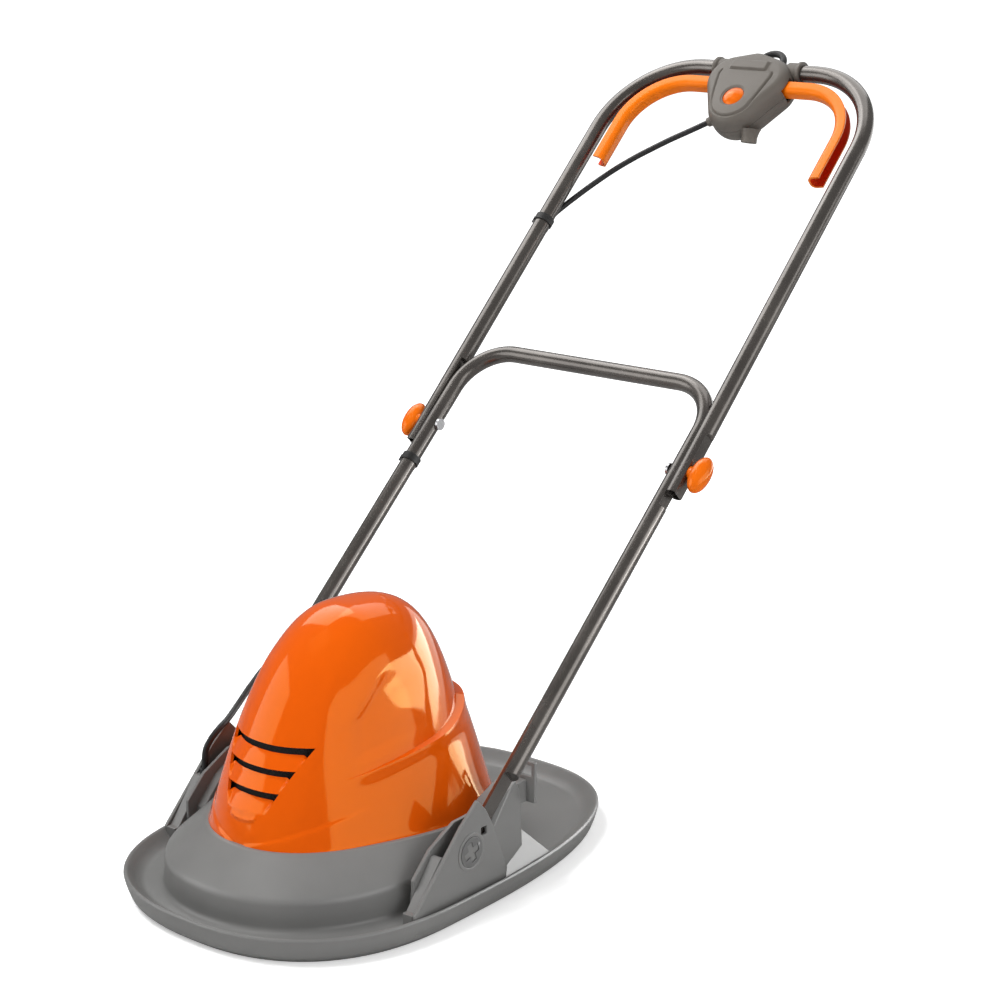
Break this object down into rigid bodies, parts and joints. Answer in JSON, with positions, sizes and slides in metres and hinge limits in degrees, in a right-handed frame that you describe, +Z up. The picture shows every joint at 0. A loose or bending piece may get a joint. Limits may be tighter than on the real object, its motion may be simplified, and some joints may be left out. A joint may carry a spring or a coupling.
{
  "type": "hover mower",
  "caption": "Electric hover mower: moulded deck under a domed motor hood, with fan and blade below and a folding tube handle with switch box and squeeze levers.",
  "frame": {"origin": "on the ground under the middle of the machine's length and width", "axes": "+Z up, -Y towards the front of the deck, +Y towards the handle, +X to the machine's right as seen from the front"},
  "size_m": [0.4136, 0.9524, 0.7584],
  "materials": {
    "deck_plastic": "satin",
    "hood_plastic": "gloss",
    "orange_plastic": "satin",
    "box_plastic": "matte",
    "black_plastic": "matte",
    "tube_paint": "satin",
    "steel": "satin",
    "motor_iron": "matte",
    "copper": "satin",
    "lead_rubber": "matte"
  },
  "bodies": {
    "deck": {"deck": "deck_plastic", "hood": "hood_plastic", "vent_mesh": "black_plastic", "hood_screws": "steel", "motor_mount": "black_plastic", "motor_stator": "motor_iron", "field_coils": "copper", "motor_bracket": "black_plastic", "motor_screws": "steel", "brush_holders": "black_plastic", "lower_bearing": "steel", "upper_bearing": "steel", "capacitor": "black_plastic", "pivot_pins": "box_plastic", "lead_gland": "lead_rubber", "lead_loop": "lead_rubber"},
    "rotor": {"motor_shaft": "steel", "armature": "motor_iron", "armature_coils": "copper", "commutator": "copper", "fan": "black_plastic", "blade_spacers": "orange_plastic", "blade": "steel", "blade_bolt": "steel"},
    "lower_handle": {"lower_handle": "tube_paint", "lower_lead_clip": "black_plastic", "lead_lower": "lead_rubber", "lead_elbow": "lead_rubber"},
    "upper_handle": {"upper_handle": "tube_paint", "clamp_bolts": "steel", "upper_lead_clip": "black_plastic", "lead_upper": "lead_rubber", "switch_cover_front": "box_plastic", "switch_cover_rear": "box_plastic", "cover_screws": "steel", "microswitch": "black_plastic", "lever_pins": "steel", "lever_springs": "steel", "button_spring": "steel"},
    "knob_left": {"knob_left": "orange_plastic"},
    "knob_right": {"knob_right": "orange_plastic"},
    "lever_left": {"lever_left": "orange_plastic"},
    "lever_right": {"lever_right": "orange_plastic"},
    "lock_button": {"lock_button": "orange_plastic"}
  },
  "joints": [
    {"name": "rotor_spin", "type": "hinge", "parent": "deck", "child": "rotor", "pos_m": [0, -0.30621, 0], "axis": [0, 0, 1], "continuous": true},
    {"name": "handle_tilt", "type": "hinge", "parent": "deck", "child": "lower_handle", "pos_m": [0, -0.26221, 0.068], "axis": [1, 0, 0], "range_deg": [0, 55], "deforming": ["lead_loop"]},
    {"name": "handle_fold", "type": "hinge", "parent": "lower_handle", "child": "upper_handle", "pos_m": [0, 0.06677, 0.3721], "axis": [1, 0, 0], "range_deg": [0, 145], "deforming": ["lead_elbow"]},
    {"name": "knob_left_turn", "type": "hinge", "parent": "upper_handle", "child": "knob_left", "pos_m": [-0.196, 0.06677, 0.3721], "axis": [-1, 0, 0], "continuous": true},
    {"name": "knob_right_turn", "type": "hinge", "parent": "upper_handle", "child": "knob_right", "pos_m": [0.196, 0.06677, 0.3721], "axis": [1, 0, 0], "continuous": true},
    {"name": "lever_left_squeeze", "type": "hinge", "parent": "upper_handle", "child": "lever_left", "pos_m": [-0.038, 0.42644, 0.71943], "axis": [0, 0.6947, -0.7193], "range_deg": [0, 5.5], "stiffness_Nm_per_rad": 6, "springref_deg": -8.59, "deforming": ["lever_springs"]},
    {"name": "lever_right_squeeze", "type": "hinge", "parent": "upper_handle", "child": "lever_right", "pos_m": [0.038, 0.42644, 0.71943], "axis": [0, -0.6947, 0.7193], "range_deg": [0, 5.5], "stiffness_Nm_per_rad": 6, "springref_deg": -8.59, "deforming": ["lever_springs"]},
    {"name": "lock_button_press", "type": "slide", "parent": "upper_handle", "child": "lock_button", "axis": [0, 0.6947, -0.7193], "range_m": [0, 0.004], "stiffness_N_per_m": 900, "springref_m": -0.002, "deforming": ["button_spring"]}
  ]
}
